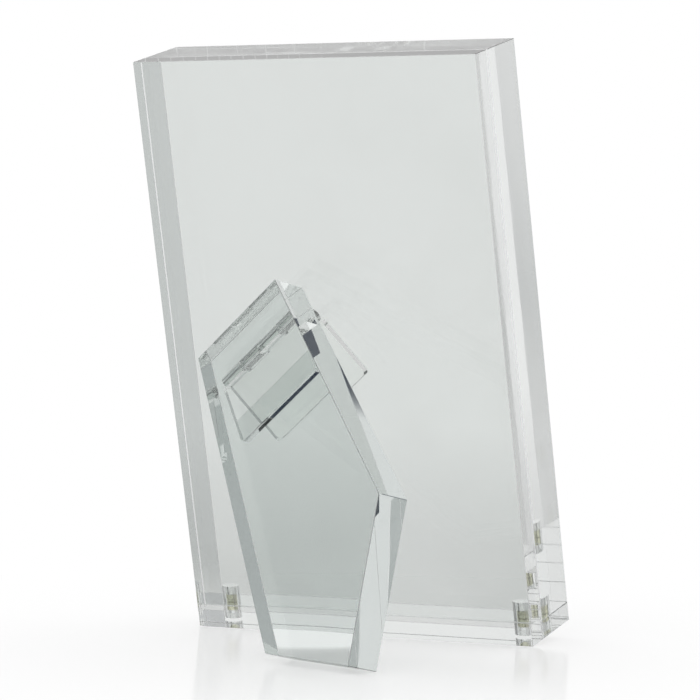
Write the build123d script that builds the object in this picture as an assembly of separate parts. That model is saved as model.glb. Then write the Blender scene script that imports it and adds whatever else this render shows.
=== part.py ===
from build123d import *
import os
from math import cos, radians, sin, tan

# A clear acrylic block frame that stands on its own leg. A thick front block sits on a ledge
# along the foot of a thin back plate, with the picture between them. Small disc magnets in
# the block and the ledge hold it there. The leg is a thick plate on a cemented acrylic hinge.
# The hinge lies askew across the back, so that the leg's two foot edges prop the frame
# either upright or sideways.
# Millimetres and degrees, front towards -Y, the table at Z = 0.

# Picture sandwich
PICTURE_WIDTH = 101.6
PICTURE_HEIGHT = 152.4
PICTURE_GAP = 0.4
FRONT_THICKNESS = 16.0
BACK_THICKNESS = 6.4
LEDGE_THICKNESS = 5.0
EDGE_BEVEL = 0.1
CEMENT_FILM = 0.05
SEAT_FILM = 0.05

# Disc magnets, glued flush into the mouths of drilled bores in the ledge and the front block
MAGNET_DIAMETER = 5.0
MAGNET_HEIGHT = 2.2
MAGNET_BEVEL = 0.15
MAGNET_RECESS = 0.05
MAGNET_FROM_SIDE = 6.3
MAGNET_FROM_PICTURE = 6.6
BORE_CLEARANCE = 0.1
BORE_DEPTH = 4.5

# Stance: how far the frame leans back, how wide the leg opens, how the hinge is turned
LEAN = 12.1
OPEN_ANGLE = 33.3
HINGE_TURN = 39.7

# Acrylic hinge
HINGE_WIDTH = 32.0
HINGE_FROM_CENTRE = 14.8
HINGE_FROM_BASE = 79.4
LEAF_REACH = 20.5
LEAF_THICKNESS = 2.0
LEAF_CORNER = 1.0
KNUCKLE_COUNT = 4
KNUCKLE_DIAMETER = 4.2
KNUCKLE_END_GAP = 0.3
BARREL_CLEARANCE = 0.3
PIN_DIAMETER = 1.8
PIN_CLEARANCE = 0.05

# Easel leg
LEG_THICKNESS = 9.6
LEG_TOP_WIDTH = 34.2
LEG_FLARE = 6.4
TOE_FROM_AXIS_CENTRE = 2.2
STOP_CLEARANCE = 0.15

picture_back = -BACK_THICKNESS
picture_front = picture_back - PICTURE_GAP
frame_front = picture_front - FRONT_THICKNESS
seat = LEDGE_THICKNESS + SEAT_FILM


def bevelled_slab(front, back, bottom, height):
    """A sawn and polished slab, centred left to right, with every edge broken."""
    size = (PICTURE_WIDTH, back - front, height)
    slab = Box(*size, align=(Align.CENTER, Align.MAX, Align.MIN))
    return Pos(0, back, bottom) * chamfer(slab.edges(), EDGE_BEVEL)


def on_magnet_axis(diameter, bottom, height):
    """A standing cylinder on the axis of the right-hand magnets."""
    across = PICTURE_WIDTH / 2 - MAGNET_FROM_SIDE
    disc = Cylinder(diameter / 2, height, align=(Align.CENTER, Align.CENTER, Align.MIN))
    return Pos(across, picture_front - MAGNET_FROM_PICTURE, bottom) * disc


def magnet(bottom):
    """A plated disc magnet with its rims broken."""
    disc = on_magnet_axis(MAGNET_DIAMETER, bottom, MAGNET_HEIGHT)
    return chamfer(disc.edges().filter_by(GeomType.CIRCLE), MAGNET_BEVEL)


# The back plate stands on the table. The ledge is cemented to its front, flush all round.
back_plate = bevelled_slab(picture_back, 0, 0, seat + PICTURE_HEIGHT)
base_ledge = bevelled_slab(frame_front, picture_back - CEMENT_FILM, 0, LEDGE_THICKNESS)
front_block = bevelled_slab(frame_front, picture_front, seat, PICTURE_HEIGHT)

# At each end the ledge is bored from above and the front block from below. The two magnets
# sit at the mouths of their bores and face each other across the seat.
bore = MAGNET_DIAMETER + 2 * BORE_CLEARANCE
ledge_bore = on_magnet_axis(bore, LEDGE_THICKNESS - BORE_DEPTH, BORE_DEPTH)
block_bore = on_magnet_axis(bore, seat, BORE_DEPTH)
base_ledge -= [ledge_bore, mirror(ledge_bore, about=Plane.YZ)]
front_block -= [block_bore, mirror(block_bore, about=Plane.YZ)]
ledge_magnet = magnet(LEDGE_THICKNESS - MAGNET_RECESS - MAGNET_HEIGHT)
front_magnet = magnet(seat + MAGNET_RECESS)

# Hinge axis on the back plate. Its own frame has x along the axis, y up and away from the
# leaves, and z out of the back plate. Opening the leg turns that frame about x.
axis_height = KNUCKLE_DIAMETER / 2 + BARREL_CLEARANCE
leaf_face = axis_height - CEMENT_FILM
turn = radians(HINGE_TURN)
closed = Plane(
    origin=(HINGE_FROM_CENTRE, axis_height, HINGE_FROM_BASE),
    x_dir=(-cos(turn), 0, sin(turn)),
    z_dir=(0, 1, 0),
)
opened = Plane(closed.location * Rot(-OPEN_ANGLE, 0, 0))
knuckle_pitch = HINGE_WIDTH / KNUCKLE_COUNT
knuckle_row = [(i + 0.5) * knuckle_pitch - HINGE_WIDTH / 2 for i in range(KNUCKLE_COUNT)]


def along_axis(diameter, length):
    """A round bar lying along the hinge axis."""
    return Rot(0, 90, 0) * Cylinder(diameter / 2, length)


def hinge_leaf(own, other, outer_face):
    """A leaf whose flat lies at outer_face, with its own knuckles and room for the others."""
    middle = outer_face - LEAF_THICKNESS / 2 if outer_face > 0 else outer_face + LEAF_THICKNESS / 2
    flat = Box(HINGE_WIDTH, LEAF_REACH, LEAF_THICKNESS, align=(Align.CENTER, Align.MAX, Align.CENTER))
    low_corners = flat.edges().filter_by(Axis.Z).group_by(Axis.Y)[0]
    leaf = Pos(0, 0, middle) * fillet(low_corners, LEAF_CORNER)
    room = 2 * axis_height
    gap = Box(knuckle_pitch + KNUCKLE_END_GAP, room, room)
    leaf -= [Pos(x, 0, middle) * gap for x in other]
    knuckle = along_axis(KNUCKLE_DIAMETER, knuckle_pitch - KNUCKLE_END_GAP)
    leaf += [Pos(x, 0, 0) * knuckle for x in own]
    return leaf - along_axis(PIN_DIAMETER + 2 * PIN_CLEARANCE, 2 * HINGE_WIDTH)


base_knuckles = knuckle_row[0::2]
leg_knuckles = knuckle_row[1::2]
hinge_base_leaf = closed.location * hinge_leaf(base_knuckles, leg_knuckles, -leaf_face)
hinge_leg_leaf = opened.location * hinge_leaf(leg_knuckles, base_knuckles, leaf_face)
hinge_pin = closed.location * along_axis(PIN_DIAMETER, HINGE_WIDTH - KNUCKLE_END_GAP)

# The leg runs on above the hinge, and its top edge meets the back plate as the open stop.
lean = radians(LEAN)
opening = radians(OPEN_ANGLE)
flare = tan(radians(LEG_FLARE))
stop_reach = (axis_height * (1 + cos(opening)) - STOP_CLEARANCE) / sin(opening)
leg_top = stop_reach + EDGE_BEVEL

# Both foot edges are cut square through the leg. The first lies where the table under the
# leaning frame crosses the leg, and the second stands square to it at the toe.
table_up = Vector(0, -sin(lean), cos(lean))
heel_height = EDGE_BEVEL * sin(lean)
inner_face = opened.origin + opened.z_dir * (axis_height + EDGE_BEVEL)
climb_along = opened.x_dir.dot(table_up)
climb_up = opened.y_dir.dot(table_up)
foot_depth = (inner_face.dot(table_up) - heel_height) / climb_up
foot_run = Vector(1, -climb_along / climb_up)
square_run = Vector(climb_along / climb_up, 1)
toe = Vector(0, -foot_depth) - foot_run * TOE_FROM_AXIS_CENTRE


def meet(start, run, other_start, other_run):
    """The point where two lines in the plane of the leg cross."""
    reach = (other_start - start).cross(other_run).Z / run.cross(other_run).Z
    return start + run * reach


top_right = Vector(LEG_TOP_WIDTH / 2, leg_top)
top_left = Vector(-LEG_TOP_WIDTH / 2, leg_top)
right_corner = meet(top_right, Vector(flare, -1), toe, square_run)
left_corner = meet(top_left, Vector(-flare, -1), toe, foot_run)
outline = Polyline(top_left, top_right, right_corner, toe, left_corner, close=True)
leg = extrude(make_face(outline), LEG_THICKNESS, dir=(0, 0, 1))
easel_leg = opened.location * Pos(0, 0, axis_height) * chamfer(leg.edges(), EDGE_BEVEL)

nodes = {
    "back_plate": back_plate,
    "base_ledge": base_ledge,
    "front_block": front_block,
    "ledge_magnet_left": mirror(ledge_magnet, about=Plane.YZ),
    "ledge_magnet_right": ledge_magnet,
    "front_magnet_left": mirror(front_magnet, about=Plane.YZ),
    "front_magnet_right": front_magnet,
    "hinge_base_leaf": hinge_base_leaf,
    "hinge_pin": hinge_pin,
    "hinge_leg_leaf": hinge_leg_leaf,
    "easel_leg": easel_leg,
}

# The frame leans back on its heel and the foot of the leg, centred over the origin.
leant = Rot(-LEAN, 0, 0)
bounds = Compound(children=[leant * shape for shape in nodes.values()]).bounding_box()
stance = Pos(-bounds.center().X, -bounds.center().Y, -bounds.min.Z) * leant

os.makedirs("parts", exist_ok=True)
for name, shape in nodes.items():
    export_step(stance * shape, f"parts/{name}.step")
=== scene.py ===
from math import radians

import bmesh
import bpy
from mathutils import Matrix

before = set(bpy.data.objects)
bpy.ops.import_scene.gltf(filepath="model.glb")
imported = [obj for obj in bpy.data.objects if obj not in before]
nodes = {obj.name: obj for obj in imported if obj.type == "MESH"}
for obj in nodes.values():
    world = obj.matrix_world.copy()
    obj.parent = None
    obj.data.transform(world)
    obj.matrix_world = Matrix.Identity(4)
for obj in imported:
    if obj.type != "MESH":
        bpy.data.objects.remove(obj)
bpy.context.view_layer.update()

# Back plate: a sheet of cast acrylic, sawn to size, its sides polished, its corners sanded and
# painted white as a highlight.
# It stands on the table; the ledge is cemented to its front and the hinge to its back.
stand_place = (0.0, -0.0242443, -0.000021)
stand_turn = (radians(-12.1), 0.0, 0.0)
picture_way = (0.0, 0.9778, -0.2096)
acrylic_ior = 1.49
smudges_per_metre, ripples_per_metre = 34.0, 55.0
smudge_start, smudge_full = 0.48, 0.72
ripple_strength, ripple_depth = 0.05, 0.0005
sheet_tint = (0.855, 0.87, 0.862, 1.0)
sheet_smudged = (0.84, 0.855, 0.846, 1.0)
polished_haze = 0.05
sanded_and_highlight_white = (1.0, 1.0, 1.0, 1.0)
sanded_roughness = 0.55
corner_slant = 0.707
corner_spread = 0.15


def step(tree, kind, feeds, **settings):
    """A node of a finish; each socket takes a plain value or the output of an earlier node."""
    node = tree.nodes.new(kind)
    for setting, value in settings.items():
        setattr(node, setting, value)
    for socket, feed in feeds.items():
        if isinstance(feed, bpy.types.NodeSocket):
            tree.links.new(feed, node.inputs[socket])
        else:
            node.inputs[socket].default_value = feed
    return node


# Handling leaves soft wipe marks on polished acrylic, and polishing leaves a slow ripple.
handling = bpy.data.node_groups.new("handling_marks", "ShaderNodeTree")
for pattern in ("Smudges per Metre", "Ripples per Metre"):
    handling.interface.new_socket(pattern, in_out="INPUT", socket_type="NodeSocketFloat")
for mark in ("Smudge", "Ripple"):
    handling.interface.new_socket(mark, in_out="OUTPUT", socket_type="NodeSocketFloat")
values = handling.nodes.new("NodeGroupInput")
where = handling.nodes.new("ShaderNodeTexCoord")
wiped = step(handling, "ShaderNodeTexNoise", {
    "Vector": where.outputs["Object"],
    "Scale": values.outputs["Smudges per Metre"],
    "Detail": 3.0,
    "Distortion": 0.6,
})
patchy = step(handling, "ShaderNodeMapRange", {
    "Value": wiped.outputs["Fac"],
    "From Min": smudge_start,
    "From Max": smudge_full,
}, interpolation_type="SMOOTHSTEP")
rippled = step(handling, "ShaderNodeTexNoise", {
    "Vector": where.outputs["Object"],
    "Scale": values.outputs["Ripples per Metre"],
    "Detail": 0.0,
})
step(handling, "NodeGroupOutput", {
    "Smudge": patchy.outputs["Result"],
    "Ripple": rippled.outputs["Fac"],
})

# Clear cement fills a joint, so light crosses it without bending. The film is a thin box,
# and the surface is bare outside it.
cement = bpy.data.node_groups.new("cement_film", "ShaderNodeTree")
for point in ("Point", "Low", "High"):
    cement.interface.new_socket(point, in_out="INPUT", socket_type="NodeSocketVector")
cement.interface.new_socket("Bare", in_out="OUTPUT", socket_type="NodeSocketFloat")
values = cement.nodes.new("NodeGroupInput")
above = step(cement, "ShaderNodeVectorMath", {
    0: values.outputs["Point"],
    1: values.outputs["Low"],
}, operation="SUBTRACT")
below = step(cement, "ShaderNodeVectorMath", {
    0: values.outputs["High"],
    1: values.outputs["Point"],
}, operation="SUBTRACT")
inside = step(cement, "ShaderNodeVectorMath", {
    0: above.outputs["Vector"],
    1: below.outputs["Vector"],
}, operation="MINIMUM")
sides = step(cement, "ShaderNodeSeparateXYZ", {"Vector": inside.outputs["Vector"]})
least = step(cement, "ShaderNodeMath", {
    0: sides.outputs["X"],
    1: sides.outputs["Y"],
}, operation="MINIMUM")
least_of_all = step(cement, "ShaderNodeMath", {
    0: least.outputs["Value"],
    1: sides.outputs["Z"],
}, operation="MINIMUM")
outside = step(cement, "ShaderNodeMath", {
    0: least_of_all.outputs["Value"],
    1: 0.0,
}, operation="LESS_THAN")
step(cement, "NodeGroupOutput", {"Bare": outside.outputs["Value"]})

# A film is given as the place and turn of its joint, and its low and high corners there.
ledge_film = (
    stand_place, stand_turn,
    (-0.0507, -0.00648, 0.0001), (0.0507, -0.00637, 0.0049),
)


def clear_acrylic(name, tint, smudged_tint, haze, broad_way, film=None):
    """Clear acrylic with polished broad faces across broad_way, its corners sanded and painted
    white as a highlight.
    """
    material = bpy.data.materials.new(name)
    material.use_nodes = True
    tree = material.node_tree
    shader = tree.nodes["Principled BSDF"]
    shader.inputs["Metallic"].default_value = 0.0
    shader.inputs["IOR"].default_value = acrylic_ior
    shader.inputs["Transmission Weight"].default_value = 1.0
    where = tree.nodes.new("ShaderNodeTexCoord")
    handled = step(tree, "ShaderNodeGroup", {
        "Smudges per Metre": smudges_per_metre,
        "Ripples per Metre": ripples_per_metre,
    }, node_tree=handling)
    slant = step(tree, "ShaderNodeVectorMath", {
        0: where.outputs["Normal"],
        1: broad_way,
    }, operation="DOT_PRODUCT")
    either_way = step(tree, "ShaderNodeMath", {0: slant.outputs["Value"]}, operation="ABSOLUTE")
    sanded_and_highlit = step(tree, "ShaderNodeMath", {
        0: either_way.outputs["Value"],
        1: corner_slant,
        2: corner_spread,
    }, operation="COMPARE")
    colour = step(tree, "ShaderNodeMix", {
        "Factor": handled.outputs["Smudge"],
        "A": tint,
        "B": smudged_tint,
    }, data_type="RGBA")
    # The sanded corners are frosted, and their colour is painted white over the tint as a
    # painted edge highlight.
    frosted_and_highlit_corner = step(tree, "ShaderNodeMix", {
        "Factor": sanded_and_highlit.outputs["Value"],
        "A": colour.outputs["Result"],
        "B": sanded_and_highlight_white,
    }, data_type="RGBA")
    tree.links.new(frosted_and_highlit_corner.outputs["Result"], shader.inputs["Base Color"])
    dulled = step(tree, "ShaderNodeMapRange", {
        "Value": handled.outputs["Smudge"],
        "To Min": 0.0,
        "To Max": haze,
    })
    corner_finish = step(tree, "ShaderNodeMix", {
        "Factor": sanded_and_highlit.outputs["Value"],
        "A": dulled.outputs["Result"],
        "B": sanded_roughness,
    })
    tree.links.new(corner_finish.outputs["Result"], shader.inputs["Roughness"])
    wavy = step(tree, "ShaderNodeBump", {
        "Height": handled.outputs["Ripple"],
        "Strength": ripple_strength,
        "Distance": ripple_depth,
    })
    tree.links.new(wavy.outputs["Normal"], shader.inputs["Normal"])
    if film:
        joint_place, joint_turn, film_low, film_high = film
        joint = step(tree, "ShaderNodeMapping", {
            "Vector": where.outputs["Object"],
            "Location": joint_place,
            "Rotation": joint_turn,
        }, vector_type="TEXTURE")
        cemented = step(tree, "ShaderNodeGroup", {
            "Point": joint.outputs["Vector"],
            "Low": film_low,
            "High": film_high,
        }, node_tree=cement)
        tree.links.new(cemented.outputs["Bare"], shader.inputs["Alpha"])
    return material


def dress(node, material):
    """Give a node its material."""
    mesh = nodes[node].data
    mesh.materials.clear()
    mesh.materials.append(material)


dress("back_plate", clear_acrylic(
    "back_plate_acrylic", sheet_tint, sheet_smudged, polished_haze, picture_way, ledge_film))

# Base ledge: a strip of the same sheet along the foot of the back plate, flush with it.
# It is cemented on; each end is bored from above for a magnet.
dress("base_ledge", clear_acrylic(
    "base_ledge_acrylic", sheet_tint, sheet_smudged, polished_haze, picture_way, ledge_film))

# Ledge magnets: two small neodymium discs glued flush into the mouths of the ledge's bores.
# They are barrel-plated with nickel in a fine grain, warm on the sides, with a painted top
# highlight.
magnet_way = (0.0, 0.2096, 0.9778)
plating_warm = (0.76, 0.75, 0.58, 1.0)
plating_tarnished = (0.60, 0.59, 0.42, 1.0)
painted_top_highlight = (0.93, 0.93, 0.91, 1.0)
plating_shiny, plating_dull = 0.04, 0.14
grains_per_metre = 420.0
painted_highlight_start, painted_highlight_full = 0.5, 0.9
plating = bpy.data.materials.new("magnet_plating")
plating.use_nodes = True
tree = plating.node_tree
shader = tree.nodes["Principled BSDF"]
shader.inputs["Metallic"].default_value = 1.0
where = tree.nodes.new("ShaderNodeTexCoord")
handled = step(tree, "ShaderNodeGroup", {
    "Smudges per Metre": grains_per_metre,
}, node_tree=handling)
colour = step(tree, "ShaderNodeMix", {
    "Factor": handled.outputs["Smudge"],
    "A": plating_warm,
    "B": plating_tarnished,
}, data_type="RGBA")
# The top end face is painted brighter by its normal: a painted highlight, not the plating's own
# colour.
endways = step(tree, "ShaderNodeVectorMath", {
    0: where.outputs["Normal"],
    1: magnet_way,
}, operation="DOT_PRODUCT")
painted_highlight_mask = step(tree, "ShaderNodeMapRange", {
    "Value": endways.outputs["Value"],
    "From Min": painted_highlight_start,
    "From Max": painted_highlight_full,
})
painted_highlight_colour = step(tree, "ShaderNodeMix", {
    "Factor": painted_highlight_mask.outputs["Result"],
    "A": colour.outputs["Result"],
    "B": painted_top_highlight,
}, data_type="RGBA")
tree.links.new(painted_highlight_colour.outputs["Result"], shader.inputs["Base Color"])
dulled = step(tree, "ShaderNodeMapRange", {
    "Value": handled.outputs["Smudge"],
    "To Min": plating_shiny,
    "To Max": plating_dull,
})
tree.links.new(dulled.outputs["Result"], shader.inputs["Roughness"])
dress("ledge_magnet_left", plating)
dress("ledge_magnet_right", plating)

# Front block: a thick slab of cast acrylic that carries the picture against its back.
# It stands loose on the ledge and lifts off; each end is bored from below for a magnet.
block_tint = (0.845, 0.86, 0.852, 1.0)
block_smudged = (0.83, 0.845, 0.836, 1.0)
dress("front_block", clear_acrylic(
    "front_block_acrylic", block_tint, block_smudged, polished_haze, picture_way))

# Front magnets: the same plated discs, glued flush into the underside of the front block.
# They face the ledge magnets across the seat and hold the block down.
dress("front_magnet_left", plating)
dress("front_magnet_right", plating)

# Hinge: two moulded clear leaves with interleaved knuckles, turned askew on the back.
# One leaf is cemented to the back plate and the other to the leg, and the pin is a clear rod.
hinge_tint = (0.965, 0.975, 0.965, 1.0)
hinge_smudged = (0.945, 0.955, 0.945, 1.0)
moulded_haze = 0.06
hinge_place = (0.0148, -0.0052539, 0.0771119)
leg_turn = (radians(72.27), radians(-38.65), radians(170.13))
leg_way = (0.3505, 0.9058, 0.2379)
leg_leaf_film = (
    hinge_place, leg_turn,
    (-0.016, -0.014, 0.00232), (0.016, -0.0024, 0.00243),
)
dress("hinge_base_leaf", clear_acrylic(
    "base_leaf_acrylic", hinge_tint, hinge_smudged, moulded_haze, picture_way))
dress("hinge_pin", clear_acrylic(
    "hinge_pin_acrylic", hinge_tint, hinge_smudged, moulded_haze, picture_way))
dress("hinge_leg_leaf", clear_acrylic(
    "leg_leaf_acrylic", hinge_tint, hinge_smudged, moulded_haze, leg_way, leg_leaf_film))

# Easel leg: a thick clear plate, cemented to the outer leaf of the hinge.
# Its two foot edges prop the frame upright or on its side, and its top edge is the stop.
leg_tint = (0.875, 0.91, 0.895, 1.0)
leg_smudged = (0.86, 0.89, 0.876, 1.0)
dress("easel_leg", clear_acrylic(
    "easel_leg_acrylic", leg_tint, leg_smudged, polished_haze, leg_way, leg_leaf_film))

# The table: a white polished surface that keeps the shade and a faint mirror image of the
# frame. A little way off it turns into the white backdrop, and further round into the room.
table_half = 6.0
table_level = -0.0001
table_roughness = 0.12
table_white = (1.0, 1.0, 1.0, 1.0)
table_grey = (0.82, 0.82, 0.82, 1.0)
# A painted glow on the table under the frame, and painted light over the shade near it.
under_frame = (0.012, -0.024, 0.0)
painted_glow_rim, painted_glow_core = 0.05, 0.03
painted_glow_least_share = 0.5
painted_glow_least_level = 0.74
shade_under_painted_light = 0.45
table_rim, backdrop_start = 0.06, 0.2
# Seen through the acrylic, the far table is painted darker towards the frame as painted shade.
room_near, room_far = 0.12, 0.9
painted_shade_near_level, room_far_level = 0.8, 1.0

# Round the frame the studio has a white backdrop, soft lamps, a dim corner and a dark end.
# Each has its direction, the cosines at its soft rim and its full core, and its light.
room_level = (0.745, 0.755, 0.755, 1.0)
studio_parts = [
    ("backdrop", (0.4771, -0.8788, 0.0), 0.72, 0.97, (1.0, 1.0, 1.0, 1.0)),
    ("lamp_by_camera_left", (0.3266, 0.9218, 0.208), 0.86, 0.96, (0.92, 0.92, 0.92, 1.0)),
    ("lamp_by_camera_right", (-0.941, 0.0905, 0.3256), 0.92, 0.97, (1.15, 1.15, 1.15, 1.0)),
    ("lamp_above_backdrop", (-0.1415, -0.48, 0.866), 0.88, 0.96, (1.2, 1.2, 1.2, 1.0)),
    ("lamp_above_right", (-0.411, -0.099, 0.906), 0.90, 0.96, (1.2, 1.2, 1.2, 1.0)),
    ("dim_corner_right", (-0.464, -0.675, 0.574), 0.951, 0.985, (0.58, 0.59, 0.60, 1.0)),
    ("dark_end_left", (0.9347, 0.2591, 0.2419), 0.97887, 0.98113, (0.012, 0.022, 0.045, 1.0)),
]
room = bpy.data.node_groups.new("studio_round_frame", "ShaderNodeTree")
room.interface.new_socket("Direction", in_out="INPUT", socket_type="NodeSocketVector")
room.interface.new_socket("Light", in_out="OUTPUT", socket_type="NodeSocketColor")
values = room.nodes.new("NodeGroupInput")
shown = room_level
for part, middle, rim, core, shade in studio_parts:
    facing = step(room, "ShaderNodeVectorMath", {
        0: values.outputs["Direction"],
        1: middle,
    }, operation="DOT_PRODUCT", name=part)
    soft = step(room, "ShaderNodeMapRange", {
        "Value": facing.outputs["Value"],
        "From Min": rim,
        "From Max": core,
    }, interpolation_type="SMOOTHSTEP")
    layer = step(room, "ShaderNodeMix", {
        "Factor": soft.outputs["Result"],
        "A": shown,
        "B": shade,
    }, data_type="RGBA")
    shown = layer.outputs["Result"]
step(room, "NodeGroupOutput", {"Light": shown})

ground = bmesh.new()
bmesh.ops.create_grid(ground, x_segments=1, y_segments=1, size=table_half)
bmesh.ops.translate(ground, vec=(0.0, 0.0, table_level), verts=ground.verts)
table_mesh = bpy.data.meshes.new("table")
ground.to_mesh(table_mesh)
ground.free()
table = bpy.data.objects.new("table", table_mesh)
bpy.context.collection.objects.link(table)
table_top = bpy.data.materials.new("table_top")
table_top.use_nodes = True
tree = table_top.node_tree
path = tree.nodes.new("ShaderNodeLightPath")
where = tree.nodes.new("ShaderNodeTexCoord")
shader = tree.nodes["Principled BSDF"]
shader.inputs["Roughness"].default_value = table_roughness
top_colour = step(tree, "ShaderNodeMix", {
    "Factor": path.outputs["Is Camera Ray"],
    "A": table_grey,
    "B": table_white,
}, data_type="RGBA")
tree.links.new(top_colour.outputs["Result"], shader.inputs["Base Color"])

# Near the frame the table has a painted glow, an emission seen through the acrylic that is
# brightest under the frame, and painted light lightens the shade that is seen straight on.
under = step(tree, "ShaderNodeVectorMath", {
    0: where.outputs["Object"],
    1: under_frame,
}, operation="DISTANCE")
painted_glow_pool = step(tree, "ShaderNodeMapRange", {
    "Value": under.outputs["Value"],
    "From Min": painted_glow_rim,
    "From Max": painted_glow_core,
}, interpolation_type="SMOOTHSTEP")
painted_glow_share = step(tree, "ShaderNodeMath", {
    0: painted_glow_pool.outputs["Result"],
    1: painted_glow_least_share,
}, operation="MAXIMUM")
painted_glow_seen_through = step(tree, "ShaderNodeMath", {
    0: painted_glow_share.outputs["Value"],
    1: path.outputs["Is Transmission Ray"],
}, operation="MULTIPLY")
painted_light_weight = step(tree, "ShaderNodeMath", {
    0: path.outputs["Is Camera Ray"],
    1: shade_under_painted_light,
    2: painted_glow_seen_through.outputs["Value"],
}, operation="MULTIPLY_ADD")
painted_glow_strength = step(tree, "ShaderNodeMath", {
    0: painted_glow_pool.outputs["Result"],
    1: path.outputs["Is Camera Ray"],
}, operation="MAXIMUM")
painted_glow_level = step(tree, "ShaderNodeMapRange", {
    "Value": painted_glow_strength.outputs["Value"],
    "To Min": painted_glow_least_level,
})
painted_glow = step(tree, "ShaderNodeEmission", {"Strength": painted_glow_level.outputs["Result"]})
near_shade_and_painted_glow = step(tree, "ShaderNodeMixShader", {
    "Fac": painted_light_weight.outputs["Value"],
    1: shader.outputs["BSDF"],
    2: painted_glow.outputs["Emission"],
})

# Further off, the table is the white backdrop to the camera and the room to the acrylic.
reach = step(tree, "ShaderNodeVectorMath", {0: where.outputs["Object"]}, operation="LENGTH")
heading = step(tree, "ShaderNodeVectorMath", {
    0: where.outputs["Object"],
}, operation="NORMALIZE")
far_light = step(tree, "ShaderNodeGroup", {
    "Direction": heading.outputs["Vector"],
}, node_tree=room)
# Painted shade: to the acrylic the far table's light is painted darker towards the frame.
painted_shade_fall = step(tree, "ShaderNodeMapRange", {
    "Value": reach.outputs["Value"],
    "From Min": room_near,
    "From Max": room_far,
    "To Min": painted_shade_near_level,
    "To Max": room_far_level,
})
far_seen = step(tree, "ShaderNodeEmission", {
    "Color": far_light.outputs["Light"],
    "Strength": painted_shade_fall.outputs["Result"],
})
white = tree.nodes.new("ShaderNodeEmission")
far = step(tree, "ShaderNodeMixShader", {
    "Fac": path.outputs["Is Camera Ray"],
    1: far_seen.outputs["Emission"],
    2: white.outputs["Emission"],
})
away = step(tree, "ShaderNodeMapRange", {
    "Value": reach.outputs["Value"],
    "From Min": table_rim,
    "From Max": backdrop_start,
}, interpolation_type="SMOOTHSTEP")
surface = step(tree, "ShaderNodeMixShader", {
    "Fac": away.outputs["Result"],
    1: near_shade_and_painted_glow.outputs["Shader"],
    2: far.outputs["Shader"],
})
tree.links.new(surface.outputs["Shader"], tree.nodes["Material Output"].inputs["Surface"])
table_mesh.materials.append(table_top)

# The studio: plain white for the camera and for the light on the table. Polished acrylic and
# plated metal show the backdrop, the lamps, the dim corner and the dark end round the frame.
studio_white = (1.0, 1.0, 1.0, 1.0)
world = bpy.data.worlds.new("studio")
bpy.context.scene.world = world
world.use_nodes = True
tree = world.node_tree
tree.nodes.clear()
path = tree.nodes.new("ShaderNodeLightPath")
where = tree.nodes.new("ShaderNodeTexCoord")
round_frame = step(tree, "ShaderNodeGroup", {
    "Direction": where.outputs["Generated"],
}, node_tree=room)
mirrored = step(tree, "ShaderNodeMath", {
    0: path.outputs["Is Glossy Ray"],
    1: path.outputs["Is Transmission Ray"],
}, operation="MAXIMUM")
room_light = step(tree, "ShaderNodeBackground", {"Color": round_frame.outputs["Light"]})
plain = step(tree, "ShaderNodeBackground", {"Color": studio_white})
choose = step(tree, "ShaderNodeMixShader", {
    "Fac": mirrored.outputs["Value"],
    1: plain.outputs["Background"],
    2: room_light.outputs["Background"],
})
step(tree, "ShaderNodeOutputWorld", {"Surface": choose.outputs["Shader"]})

# The camera stands behind the frame and a little to its right, not far above the table.
# The frame is clear all through, so light is followed through many faces.
camera_data = bpy.data.cameras.new("camera")
camera_data.sensor_width = 36.0
camera_data.lens = 186.18
camera = bpy.data.objects.new("camera", camera_data)
camera.location = (-0.459526, 0.828426, 0.119424)
camera.rotation_euler = (radians(87.4911), radians(0.2259), radians(-151.5105))
bpy.context.collection.objects.link(camera)

scene = bpy.context.scene
scene.camera = camera
scene.view_settings.view_transform = "Standard"
scene.cycles.max_bounces = 40
scene.cycles.transmission_bounces = 40
scene.cycles.glossy_bounces = 16
scene.cycles.transparent_max_bounces = 32
